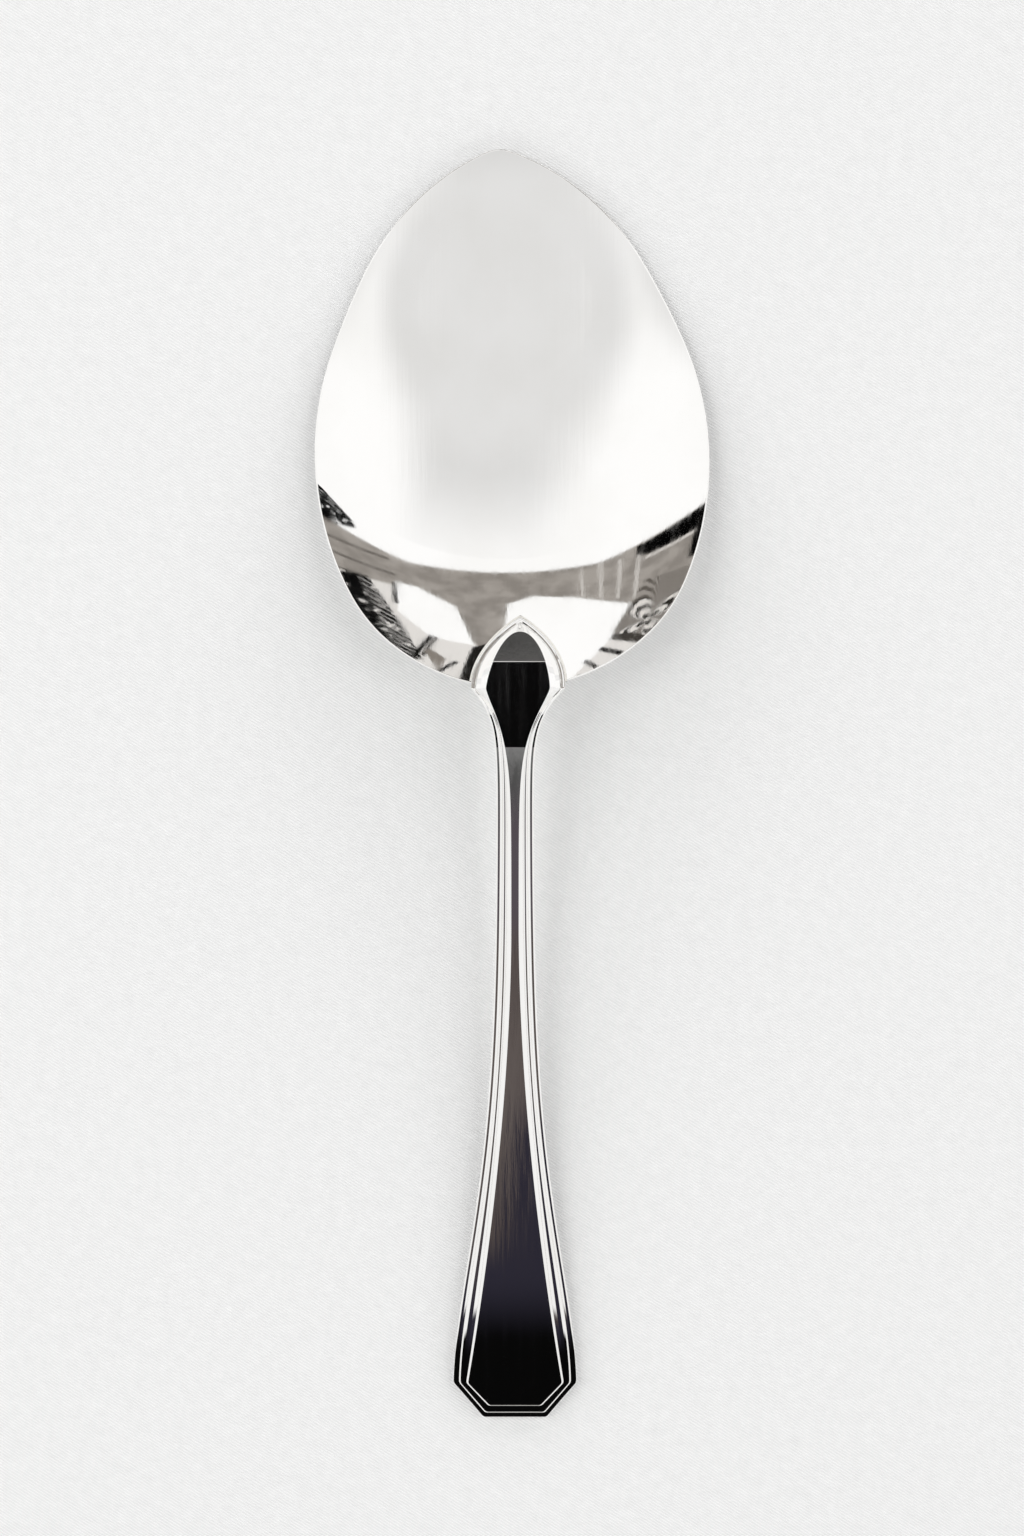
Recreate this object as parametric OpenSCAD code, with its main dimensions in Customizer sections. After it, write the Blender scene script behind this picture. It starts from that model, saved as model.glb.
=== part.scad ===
// Serving spoon with a broad dished blade, a raised heel and a stepped handle.
// It rests on the flat land under the blade and on the end of the handle.
// +Y points to the tip, +Z up. Sizes are in millimetres and angles in degrees.

/* [Blade] */
// Length of the blade from its heel to its tip
blade_len = 102.4; // [92:0.2:112]
// Width of the blade where it is widest
blade_w = 74.7; // [64:0.1:82]
// Thickness of the blade's sheet
blade_t = 1.3; // [0.9:0.1:1.8]
// Angle by which the brazed blade stands askew on the handle
blade_skew = 2.6; // [0:0.1:4]

/* [Dish and heel wall] */
// Radius of the flat land under the blade
land_r = 16; // [10:0.5:20]
// Distance from the tip back to the middle of the land
dish_back = 29.2; // [24:0.2:34]
// Radius of the arc where the dish turns up into the heel wall
crease_r = 48.8; // [46:0.2:52]
// Slope of the dish at the crease
dish_slope = 8; // [5:0.5:10]
// Slope of the heel wall at its foot
wall_foot_slope = 16; // [14:0.5:20]
// Slope of the heel wall at the rim
wall_rim_slope = 30; // [26:0.5:36]
// Radius of the fillet between the dish and the heel wall
crease_fillet = 15; // [10:1:20]

/* [Handle] */
// Length of the handle from its end to the corners of the tongue
handle_len = 137.7; // [120:0.1:150]
// Width of the handle at its widest, above the cut corners
end_w = 23.4; // [19:0.1:26]
// Width of the straight edge at the end of the handle
end_edge_w = 12; // [9:0.1:14]
// Length of the cut corners along the handle
corner_len = 6.6; // [4:0.1:8]
// Width of the neck
neck_w = 6.9; // [6:0.1:8]
// Thickness of the handle at its end
end_t = 2.6; // [2.2:0.1:3.4]
// Thickness of the handle where it meets the blade
neck_t = 4; // [3.6:0.1:4.6]
// Distance over which the handle narrows from its end
taper_len = 40; // [32:0.5:46]
// Length of the flat under the end of the handle, on which it rests
end_flat = 8; // [4:0.5:14]
// Rounding of the handle's lower edges
under_edge = 0.6; // [0.4:0.1:0.9]

/* [Ledges and panel] */
// Height of each of the two steps round the panel
step_h = 0.45; // [0.3:0.05:0.6]
// Width of the outer ledge along the sides
ledge_w = 1.35; // [1.1:0.05:1.5]
// Width of the outer ledge across the end
end_ledge_w = 1.05; // [0.8:0.05:1.3]
// Width of both ledges together across the end
end_border_w = 2.4; // [2:0.1:2.8]
// Width of the panel above the cut corners
panel_end_w = 18.1; // [14:0.1:19]
// Width of the panel along the neck
panel_neck_w = 1.4; // [1:0.1:2]
// Distance over which the panel narrows from its end
panel_taper_len = 86; // [76:1:94]

/* [Tongue] */
// Width of the tongue at its corners
tongue_w = 17.6; // [15:0.1:20]
// Length of the tongue from its corners to its point
tongue_len = 13.4; // [11:0.1:15]
// Width of the panel on the tongue
tongue_panel_w = 12.1; // [10:0.1:13]
// Length of the panel on the tongue, from the corners forwards
tongue_panel_len = 10.6; // [9:0.1:12]
// Distance from the corners back to the panel's rear break, where it levels out
rear_break = 11; // [9:0.1:14]
// Distance from the corners to the panel's front break
front_break = 4.9; // [4:0.1:6]
// Slope of the panel in front of the front break
front_slope = 39; // [36:0.5:41]
// Slope at which the panel still rises between its two breaks
level_slope = 2; // [0:0.5:3]
// Width of the ledges round the tongue
tongue_ledge_w = 0.9; // [0.7:0.05:1.1]
// Length over which the neck widens into the tongue
flare_len = 4.7; // [4:0.1:6]
// Length over which the panel widens into the tongue
panel_flare_len = 8.4; // [7:0.1:10]
// Sideways set of the tongue on the neck
tongue_set = 1; // [0:0.1:1.2]
// Length over which the handle leans sideways, from the neck to the tongue's point
lean_len = 28; // [24:0.5:34]
// Length over which the neck's section turns into the tongue's
turn_len = 15; // [12:0.5:20]
// Length over which the ledges fall towards the blade
rim_fall_len = 5; // [4:0.5:8]
// Rounding of the tongue's lower edge
tongue_edge = 0.15; // [0.1:0.05:0.25]

/* [Joint] */
// Gap between the blade and the tongue, which the filler fills
lap_gap = 0.15; // [0.12:0.01:0.25]
// Clearance of the filler to the two pieces that it joins
filler_clear = 0.02; // [0.01:0.01:0.04]
// Size of the bead round the tongue's edge
bead = 0.4; // [0.3:0.05:0.7]
// Length of the shoulder that meets the blade's heel
lap_ramp = 0.3; // [0.2:0.05:0.5]
// Distance from the heel to the point about which the blade stands askew
joint_y = 9.5; // [6:0.5:12]

/* [Hidden] */

// Round steps of the turned blade, so fine that its facets stay well within the filler's clearance
$fn = 180;
// Steps along each arc of the blade's outline, the shaft, the tongue and the sheet's profile
arc_steps = 9;
shaft_steps = 50;
tongue_steps = 14;
dish_steps = 8;
fillet_steps = 4;
wall_steps = 12;
// Columns across half of the tongue's underside
half_columns = 4;

// The blade's outline is a chain of tangent arcs from the tip to the heel. Each has a radius, as a share of
// the blade's length, and the heading at its end. The chain is then stretched to the blade's length and width.
outline_shares = [0.088, 0.645, 1.70, 0.67, 0.397, 0.53];
outline_headings = [20, 60, 67, 118, 142, 180];
// Where the flares and tapers bend, as powers
taper_power = 1.64;
panel_taper_power = 1.8;
flare_power = 1.15;
panel_flare_power = 1.35;
tongue_powers = [2.1, 0.9];
panel_powers = [1.45, 0.5];
// How the handle rises from its flat end, and how its stations crowd towards the neck, as powers
rise_power = 1.7;
station_power = 1.6;
tongue_station_power = 1.8;
// How much the end edge shortens with each inset, as a share of the inset
corner_share = 0.45;
// How much further a contour reaches at the tongue's point than at its sides, as a share of the inset
point_share = 1.2;
// Width of the wall between the two ledges, as a share of the outer ledge
outer_wall_share = 0.14;
// Heights of the two ledges on the tongue, as shares of its thickness over the blade
rim_shares = [0.25, 0.4];
// Place of the inner wall's foot, as shares of the inner border: at the end, along the neck, on the tongue
foot_shares = [0.1, 0.55, 0.95];
// Place along the shaft where the second share is reached, as a share of its length
foot_station_share = 0.3;
// The shoulder between the inner wall and the panel: its place along the neck and on the tongue, and its
// height, as shares of the wall's
shoulder_place_shares = [0.82, 0.55];
shoulder_height_share = 0.5;
// Height by which the outline's cutter passes the sheet
overrun = 5;

// Derived places, measured from the blade's heel, where the tongue has its corners
end_y = -handle_len;
corner_y = corner_len - handle_len;
dish_y = blade_len - dish_back;
dish_r = (crease_r - land_r) / sin(dish_slope);
heel_r = dish_y;

// The sheet's lower face in section: land, dish, fillet and wall, as arcs that meet tangentially.
// Each arc has a centre [r, z] and a radius; the upper face has the same centres.
dish_c = [land_r, dish_r];
function on_arc(c, rad, a) = c + rad * [sin(a), -cos(a)];
fillet_start = on_arc(dish_c, dish_r, dish_slope);
fillet_c = on_arc(fillet_start, -crease_fillet, dish_slope);
wall_start = on_arc(fillet_c, crease_fillet, wall_foot_slope);
wall_r = (heel_r - wall_start[0]) / (sin(wall_rim_slope) - sin(wall_foot_slope));
wall_c = on_arc(wall_start, -wall_r, wall_foot_slope);
// The section runs on past the heel, so that the outline cuts it
wall_end_slope = wall_rim_slope + wall_rim_slope - wall_foot_slope;

function arc_row(c, rad, a0, a1, steps) =
    [for (i = [1:steps]) on_arc(c, rad, a0 + (a1 - a0) * i / steps)];
function face_row(t) = concat(
    [[0, t], [land_r, t]],
    arc_row(dish_c, dish_r - t, 0, dish_slope, dish_steps),
    arc_row(fillet_c, crease_fillet - t, dish_slope, wall_foot_slope, fillet_steps),
    arc_row(wall_c, wall_r - t, wall_foot_slope, wall_end_slope, 2 * wall_steps)
);

// Height of the blade's upper face at a distance r from the middle of the dish
function arc_height(c, rad, r) = c[1] - sqrt(rad * rad - (r - c[0]) * (r - c[0]));
function sheet_top(r) =
    r < land_r ? blade_t :
    r < fillet_start[0] - blade_t * sin(dish_slope) ? arc_height(dish_c, dish_r - blade_t, r) :
    r < wall_start[0] - blade_t * sin(wall_foot_slope)
        ? arc_height(fillet_c, crease_fillet - blade_t, r)
        : arc_height(wall_c, wall_r - blade_t, r);

// The blade stands askew about a point on the tongue's middle line
function blade_to_spoon(p) = let (q = p - [0, joint_y]) [
    tongue_set + q[0] * cos(blade_skew) - q[1] * sin(blade_skew),
    joint_y + q[0] * sin(blade_skew) + q[1] * cos(blade_skew)
];
function spoon_to_blade(p) = let (q = p - [tongue_set, joint_y]) [
    q[0] * cos(blade_skew) + q[1] * sin(blade_skew),
    joint_y - q[0] * sin(blade_skew) + q[1] * cos(blade_skew)
];
function blade_top(x, y) = sheet_top(norm(spoon_to_blade([x, y]) - [0, dish_y]));

// One side of the blade's outline, from the tip to the heel, in the blade's own frame
function arc_start(k) = k == 0 ? 0 : outline_headings[k - 1];
function chain_from(k, at) = k == len(outline_shares) ? [] :
    let (
        a0 = arc_start(k),
        a1 = outline_headings[k],
        rad = outline_shares[k] * blade_len,
        c = at - rad * [sin(a0), cos(a0)],
        row = [for (i = [1:arc_steps]) let (a = a0 + (a1 - a0) * i / arc_steps)
            c + rad * [sin(a), cos(a)]]
    ) concat(row, chain_from(k + 1, row[arc_steps - 1]));
raw_side = concat([[0, 0]], chain_from(0, [0, 0]));
raw_half_w = max([for (p = raw_side) p[0]]);
raw_len = -min([for (p = raw_side) p[1]]);
blade_side = [for (p = raw_side) [p[0] / raw_half_w * blade_w / 2, blade_len + p[1] / raw_len * blade_len]];
side_count = len(blade_side);
// The last point closes on the axis, so that it isn't repeated on the other side
blade_outline = concat(
    [for (i = [0:side_count - 2]) blade_side[i]],
    [[0, 0]],
    [for (i = [side_count - 2:-1:1]) [-blade_side[i][0], blade_side[i][1]]]
);

// Plan of the handle. Half widths are given by the distance y from the tongue's corners.
function swell(d, length, power) = exp(-pow(max(d, 0) / length, power));
function outer_half(y) = neck_w / 2
    + (end_w - neck_w) / 2 * swell(y - corner_y, taper_len, taper_power)
    + (tongue_w - neck_w) / 2 * swell(-y, flare_len, flare_power);
function near_tongue(y) = swell(-y, flare_len, flare_power);
function ledge_half(y) = outer_half(y)
    - ledge_w * (1 - near_tongue(y)) - tongue_ledge_w * near_tongue(y);
function panel_half(y) = panel_neck_w / 2
    + (panel_end_w - panel_neck_w) / 2 * pow(max(1 - (y - corner_y) / panel_taper_len, 0), panel_taper_power)
    + (tongue_panel_w - panel_neck_w) / 2 * swell(-y, panel_flare_len, panel_flare_power);

// The handle leans sideways towards the tongue's point, and its section turns into the tongue's
function smooth(t) = let (u = min(max(t, 0), 1)) u * u * (3 - 2 * u);
function lean(y) = tongue_set * smooth(1 + (y - tongue_len) / lean_len);
function turned_to_tongue(y) = smooth(1 + y / turn_len);

// One side of a contour, from the end's corner to the tongue's point
// The last two stations stand on the shoulder that meets the blade's heel
free_steps = shaft_steps - 2;
shoulder_y = -lap_gap - lap_ramp;
function shaft_y(i) =
    i <= free_steps ? shoulder_y + (corner_y - shoulder_y) * pow(1 - i / free_steps, station_power) :
    i == shaft_steps ? 0 : -lap_gap;
function tongue_place(i) = 1 - pow(1 - i / tongue_steps, tongue_station_power);
function side_of(inset, half, length, powers) = concat(
    [[end_edge_w / 2 - corner_share * inset, end_y + inset]],
    [for (i = [0:shaft_steps]) let (y = shaft_y(i)) [half[i], y]],
    [for (i = [1:tongue_steps]) let (t = tongue_place(i))
        [half[shaft_steps] * pow(1 - pow(t, powers[0]), powers[1]), length * t]]
);
outer_side = side_of(0, [for (i = [0:shaft_steps]) outer_half(shaft_y(i))], tongue_len, tongue_powers);
ledge_side = side_of(
    end_ledge_w,
    [for (i = [0:shaft_steps]) ledge_half(shaft_y(i))],
    tongue_len - point_share * tongue_ledge_w,
    tongue_powers
);
panel_side = side_of(
    end_border_w,
    [for (i = [0:shaft_steps]) panel_half(shaft_y(i))],
    tongue_panel_len,
    panel_powers
);
last = len(outer_side) - 1;

// Heights along the handle
crest_z = sheet_top(heel_r) - blade_t / cos(wall_rim_slope) + neck_t;
rear_z = crest_z - (front_break + rear_break) * tan(level_slope);
function risen(y) = pow(min(max((y - end_y - end_flat) / (-rear_break - end_y - end_flat), 0), 1), rise_power);
function panel_z(y) =
    y < -rear_break ? end_t + (rear_z - end_t) * risen(y) :
    y < front_break ? crest_z - (front_break - y) * tan(level_slope) :
    crest_z - (y - front_break) * tan(front_slope);
function under_z(y) = (crest_z - neck_t) * risen(y);
function tongue_under(x, y) = blade_top(x, y) + lap_gap;
function lapped(y) = min(max((y - shoulder_y) / lap_ramp, 0), 1);
function under(x, y) = let (s = lapped(y))
    s == 0 ? under_z(y) : under_z(y) * (1 - s) + tongue_under(x, y) * s;
// The outer ledge, 0, and the inner one, 1, follow the panel, but on the tongue they fall towards the blade
function mix(a, b, s) = a * (1 - s) + b * s;
function stepped(x, y, ledge) = mix(
    panel_z(y) - (2 - ledge) * step_h,
    mix(tongue_under(x, max(y, 0)), panel_z(y), rim_shares[ledge]),
    smooth(1 + y / rim_fall_len)
);
function foot_share(i) = let (s = min(max((i - 1) / shaft_steps, 0), 1), m = foot_station_share)
    s < m ? mix(foot_shares[0], foot_shares[1], smooth(s / m))
          : mix(foot_shares[1], foot_shares[2], turned_to_tongue(outer_side[i][1]));
function lower_edge(i) = mix(under_edge, tongue_edge, turned_to_tongue(outer_side[i][1]));

// A point of the underside, at a share of the half width, at index i; hand = 1 or -1
function bottom_pt(i, hand, share) = let (
    p = outer_side[i],
    e = lower_edge(i),
    q = i > shaft_steps + 1
        ? [p[0] * (1 - 2 * e / tongue_w), p[1] * (1 - point_share * e / tongue_len)]
        : [p[0] - e, p[1] + (i == 0 ? e : 0)],
    x = lean(q[1]) + hand * q[0] * share
) [x, q[1], under(x, q[1])];
function low_pt(i, hand) = let (p = outer_side[i], x = lean(p[1]) + hand * p[0])
    [x, p[1], under(x, p[1]) + lower_edge(i)];
function step_pt(p, hand, ledge) = let (x = lean(p[1]) + hand * p[0])
    [x, p[1], stepped(x, p[1], ledge)];
function shoulder_pt(i, hand) = let (
    foot = mix(panel_side[i], ledge_side[i], foot_share(i)),
    place = mix(shoulder_place_shares[0], shoulder_place_shares[1], turned_to_tongue(outer_side[i][1])),
    p = mix(panel_side[i], foot, place),
    x = lean(p[1]) + hand * p[0]
) [x, p[1], mix(stepped(x, p[1], 1), panel_z(p[1]), shoulder_height_share)];
function contour_pt(k, i, hand) =
    k == 0 ? bottom_pt(i, hand, 1) :
    k == 1 ? low_pt(i, hand) :
    k == 2 ? step_pt(outer_side[i], hand, 0) :
    k == 3 ? step_pt(mix(ledge_side[i], outer_side[i], outer_wall_share), hand, 0) :
    k == 4 ? step_pt(ledge_side[i], hand, 1) :
    k == 5 ? step_pt(mix(panel_side[i], ledge_side[i], foot_share(i)), hand, 1) :
    k == 6 ? shoulder_pt(i, hand) :
    let (p = panel_side[i]) [lean(p[1]) + hand * p[0], p[1], panel_z(p[1])];
levels = 8;

// Each contour runs up the right side to the point and back down the left side
ring_count = 2 * last + 1;
function ring(k) = concat(
    [for (i = [0:last]) contour_pt(k, i, 1)],
    [for (i = [last - 1:-1:0]) contour_pt(k, i, -1)]
);
function band(k) = [for (j = [0:ring_count - 1]) let (
    a = k * ring_count + j,
    b = k * ring_count + (j + 1) % ring_count
) each [[a, b, b + ring_count], [a, b + ring_count, a + ring_count]]];

// The panel is closed across from side to side
function panel_faces(k) = let (o = k * ring_count) concat(
    [for (i = [0:last - 2]) let (l = ring_count - 1 - i)
        each [[o + i, o + i + 1, o + l - 1], [o + i, o + l - 1, o + l]]],
    [[o + last - 1, o + last, o + last + 1]]
);

// The underside is closed by rows of columns, because under the tongue it follows the blade
inner_columns = 2 * half_columns - 1;
function inner_row(i) = [for (c = [1:inner_columns]) let (s = 1 - c / half_columns)
    bottom_pt(i, sign(s) == 0 ? 1 : sign(s), abs(s))];
inner_start = levels * ring_count;
function under_index(i, c) =
    c == 0 ? i :
    c == 2 * half_columns ? ring_count - 1 - i :
    inner_start + (i - 1) * inner_columns + c - 1;
under_faces = concat(
    [concat([ring_count - 1], [for (c = [2 * half_columns:-1:0]) under_index(1, c)], [0])],
    [for (i = [1:last - 2], c = [0:2 * half_columns - 1]) each [
        [under_index(i, c), under_index(i, c + 1), under_index(i + 1, c)],
        [under_index(i + 1, c), under_index(i, c + 1), under_index(i + 1, c + 1)]
    ]],
    [for (c = [0:2 * half_columns - 1]) [under_index(last - 1, c), under_index(last - 1, c + 1), last]]
);
function turned(faces) = [for (f = faces) [for (i = [len(f) - 1:-1:0]) f[i]]];

// The filler: a film under the tongue and a bead round its edge. Its rows follow the tongue's outline and
// close at its point.
film_rows = tongue_steps - 1;
film_columns = 2 * half_columns;
film_top = lap_gap - filler_clear;
function film_row_side(i, grow) = let (t = tongue_place(i + 1)) [
    (tongue_w / 2 + grow) * pow(1 - pow(t, tongue_powers[0]), tongue_powers[1]),
    (tongue_len + point_share * grow) * t
];
function film_pt(i, grow, place, z) = let (
    p = film_row_side(i, grow),
    x = lean(p[1]) + p[0] * place
) [x, p[1], blade_top(x, p[1]) + z];
function film_row(i) = concat(
    [film_pt(i, bead, 1, filler_clear)],
    [film_pt(i, filler_clear, 1, lap_gap + bead)],
    [film_pt(i, filler_clear, 1, lap_gap + tongue_edge)],
    [for (c = [0:film_columns]) film_pt(i, -tongue_edge, 1 - 2 * c / film_columns, film_top)],
    [film_pt(i, filler_clear, -1, lap_gap + tongue_edge)],
    [film_pt(i, filler_clear, -1, lap_gap + bead)],
    [film_pt(i, bead, -1, filler_clear)],
    [for (c = [film_columns:-1:0]) film_pt(i, -tongue_edge, 1 - 2 * c / film_columns, filler_clear)]
);
film_points = [for (i = [0:film_rows]) each film_row(i)];
row_count = 2 * film_columns + 8;
film_faces = concat(
    [for (i = [0:film_rows - 1], j = [0:row_count - 1]) let (
        a = i * row_count + j,
        b = i * row_count + (j + 1) % row_count
    ) each [[b, a, a + row_count], [b, a + row_count, b + row_count]]],
    // The open end at the heel: the bead on each side, then the film between
    [[0, 1, 2], [0, 2, 3], [0, 3, row_count - 1]],
    let (o = film_columns + 3) [[o, o + 1, o + 2], [o, o + 2, o + 3], [o, o + 3, o + 4]],
    [for (c = [0:film_columns - 1]) let (a = c + 3, b = row_count - 1 - c)
        each [[a, a + 1, b - 1], [a, b - 1, b]]]
);

// The whole spoon stands over the middle of its plan
placed_outline = [for (p = blade_outline) blade_to_spoon(p)];
plan_x = concat([for (p = placed_outline) p[0]], [end_w / 2, -end_w / 2]);
plan_y = concat([for (p = placed_outline) p[1]], [end_y]);
middle = [(max(plan_x) + min(plan_x)) / 2, (max(plan_y) + min(plan_y)) / 2];

module on_frame() {
    translate([-middle[0], -middle[1], 0]) children();
}

// The stamped blade: the sheet's section turned about the middle of the dish, cut to the outline
module blade() {
    color("silver")
    on_frame()
    translate([tongue_set, joint_y, 0])
    rotate([0, 0, blade_skew])
    translate([0, -joint_y, 0])
    intersection() {
        translate([0, dish_y, 0])
        rotate_extrude()
        polygon(concat(face_row(0), turned([face_row(blade_t)])[0]));
        translate([0, 0, -overrun])
        linear_extrude(height = 2 * overrun + sheet_top(heel_r))
        polygon(blade_outline);
    }
}

// The die-struck handle with its tongue
module handle() {
    color("gainsboro")
    on_frame()
    polyhedron(
        points = concat(
            [for (k = [0:levels - 1]) each ring(k)],
            [for (i = [1:last - 1]) each inner_row(i)]
        ),
        faces = turned(concat([for (k = [0:levels - 2]) each band(k)], panel_faces(levels - 1), under_faces)),
        convexity = 6
    );
}

// The filler between the blade and the tongue
module braze_joint() {
    color("darkgray")
    on_frame()
    polyhedron(points = film_points, faces = turned(film_faces), convexity = 6);
}

blade();
handle();
braze_joint();
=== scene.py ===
import bpy
import math
import numpy as np
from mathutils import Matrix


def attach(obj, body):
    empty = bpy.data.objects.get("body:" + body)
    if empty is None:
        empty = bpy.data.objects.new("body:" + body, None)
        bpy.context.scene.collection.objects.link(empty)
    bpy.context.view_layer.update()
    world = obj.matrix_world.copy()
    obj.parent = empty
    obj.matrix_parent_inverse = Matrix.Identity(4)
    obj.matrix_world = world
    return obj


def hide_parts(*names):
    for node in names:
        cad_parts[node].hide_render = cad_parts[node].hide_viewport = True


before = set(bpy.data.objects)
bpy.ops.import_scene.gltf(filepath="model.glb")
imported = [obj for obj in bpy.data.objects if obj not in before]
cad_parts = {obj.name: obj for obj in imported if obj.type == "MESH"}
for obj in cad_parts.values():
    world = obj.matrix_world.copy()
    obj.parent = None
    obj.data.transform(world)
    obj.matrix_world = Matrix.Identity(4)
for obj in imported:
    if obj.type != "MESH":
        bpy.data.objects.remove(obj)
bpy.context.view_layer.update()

# Lengths are in millimetres and angles in degrees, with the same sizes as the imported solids. The spoon is
# made in a frame of its own, which has its zero between the tongue's corners, and then moved so that the
# middle of its plan is the scene's zero.
MM = 0.001
# A length that counts as none
TINY = 1e-12

# The blade's sheet
BLADE_LEN = 102.4
BLADE_W = 74.7
BLADE_T = 1.3
# Its section: the flat land, the dish, the fillet at the crease and the heel wall
LAND_R = 16.0
DISH_BACK = 29.2
CREASE_R = 48.8
DISH_SLOPE = 8.0
FOOT_SLOPE = 16.0
RIM_SLOPE = 30.0
FILLET = 15.0
# Its outline's arcs from the tip to the heel: radii as shares of the length, and headings at their ends
OUTLINE_SHARES = (0.088, 0.645, 1.70, 0.67, 0.397, 0.53)
OUTLINE_HEADINGS = (20, 60, 67, 118, 142, 180)
# The angle by which it stands askew, about a point this far from its heel
SKEW = 2.6
JOINT_Y = 9.5

# The handle
HANDLE_LEN = 137.7
END_W = 23.4
END_EDGE_W = 12.0
CORNER_LEN = 6.6
NECK_W = 6.9
END_T = 2.6
NECK_T = 4.0
TAPER_LEN = 40.0
END_FLAT = 8.0
UNDER_EDGE = 0.6

# The ledges and the panel
STEP_H = 0.45
LEDGE_W = 1.35
END_LEDGE_W = 1.05
END_BORDER_W = 2.4
PANEL_END_W = 18.1
PANEL_NECK_W = 1.4
PANEL_TAPER_LEN = 86.0
# Width of the wall between the ledges, as a share of the outer ledge
OUTER_WALL_SHARE = 0.14
# Place of the inner wall's foot, as shares of the way to the ledge: at the end, at the neck, on the tongue
FOOT_SHARES = (0.1, 0.55, 0.95)
FOOT_LEN = 62.0
# The shoulder over that foot: its place along the shaft and on the tongue, and its height, as shares
SHOULDER_PLACE_SHARES = (0.82, 0.55)
SHOULDER_HEIGHT_SHARE = 0.5
# The ledges' fine crown: its height and places as shares of a ledge, its start and how soon it is full
CROWN_SHARE = 0.1
CROWN_PLACE_SHARES = (0.26, 0.62)
CROWN_START = 6.0
CROWN_LEN = 30.0

# The tongue
TONGUE_W = 17.6
TONGUE_LEN = 13.4
TONGUE_PANEL_W = 12.1
TONGUE_PANEL_LEN = 10.6
TONGUE_LEDGE_W = 0.9
TONGUE_SET = 1.0
TONGUE_EDGE = 0.15
REAR_BREAK = 11.0
FRONT_BREAK = 4.9
FRONT_SLOPE = 39.0
LEVEL_SLOPE = 2.0
FLARE_LEN = 4.7
PANEL_FLARE_LEN = 8.4
LEAN_LEN = 28.0
TURN_LEN = 15.0
RIM_FALL_LEN = 5.0
# Heights of its two ledges, as shares of its thickness over the blade
RIM_SHARES = (0.25, 0.4)

# Powers by which the tapers and flares bend, the contours close at the tongue's point and the handle rises
TAPER_POWER = 1.64
PANEL_TAPER_POWER = 1.8
FLARE_POWER = 1.15
PANEL_FLARE_POWER = 1.35
TONGUE_POWERS = (2.1, 0.9)
PANEL_POWERS = (1.45, 0.5)
RISE_POWER = 1.7
# How much the end's edge shortens and the tongue's point draws back, as shares of a contour's inset
CORNER_SHARE = 0.45
POINT_SHARE = 1.2

# The joint
LAP_GAP = 0.15
LAP_RAMP = 0.3
BEAD = 0.4
CLEAR = 0.02

# How far the smooth surfaces keep inside the solids' rim and top
EDGE_IN = 0.05
TOP_IN = 0.03

sin, cos, tan, rad = math.sin, math.cos, math.tan, math.radians


class Section:
    """Height and slope of the blade's sheet at a distance r from the middle of the dish."""

    def __init__(self):
        dish, foot, rim = rad(DISH_SLOPE), rad(FOOT_SLOPE), rad(RIM_SLOPE)
        self.heel = BLADE_LEN - DISH_BACK
        self.dish_r = (CREASE_R - LAND_R) / sin(dish)
        self.dish_c = (LAND_R, self.dish_r)
        x = LAND_R + self.dish_r * sin(dish)
        z = self.dish_r - self.dish_r * cos(dish)
        self.fillet_start = x
        self.fillet_c = (x - FILLET * sin(dish), z + FILLET * cos(dish))
        x = self.fillet_c[0] + FILLET * sin(foot)
        z = self.fillet_c[1] - FILLET * cos(foot)
        self.wall_start = x
        self.wall_r = (self.heel - x) / (sin(rim) - sin(foot))
        self.wall_c = (x - self.wall_r * sin(foot), z + self.wall_r * cos(foot))

    def at(self, r, t):
        """Height and slope's sine at r, for the face t above the lower one."""
        steepest = 0.999
        r = np.asarray(r, float)
        z = np.full(r.shape, float(t))
        s = np.zeros(r.shape)
        fillet_from = self.fillet_start - t * sin(rad(DISH_SLOPE))
        wall_from = self.wall_start - t * sin(rad(FOOT_SLOPE))
        arcs = (
            (LAND_R, fillet_from, self.dish_c, self.dish_r),
            (fillet_from, wall_from, self.fillet_c, FILLET),
            (wall_from, np.inf, self.wall_c, self.wall_r),
        )
        for start, end, centre, radius in arcs:
            here = (r >= start) & (r < end)
            q = np.clip((r[here] - centre[0]) / (radius - t), -steepest, steepest)
            z[here] = centre[1] - (radius - t) * np.sqrt(1 - q * q)
            s[here] = q
        return z, s


SHEET = Section()
DISH_Y = SHEET.heel


def chain(steps):
    """One side of the blade's outline from the tip to the heel: tangent arcs, stretched to size."""
    at = np.zeros(2)
    a0 = 0.0
    pts = [at]
    for share, heading in zip(OUTLINE_SHARES, OUTLINE_HEADINGS):
        radius = share * BLADE_LEN
        centre = at - radius * np.array([sin(rad(a0)), cos(rad(a0))])
        for i in range(1, steps + 1):
            a = rad(a0 + (heading - a0) * i / steps)
            pts.append(centre + radius * np.array([sin(a), cos(a)]))
        at = pts[-1]
        a0 = heading
    p = np.array(pts)
    p[:, 0] *= BLADE_W / 2 / p[:, 0].max()
    p[:, 1] = BLADE_LEN + p[:, 1] / -p[:, 1].min() * BLADE_LEN
    p[-1, 0] = 0
    return p


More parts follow.
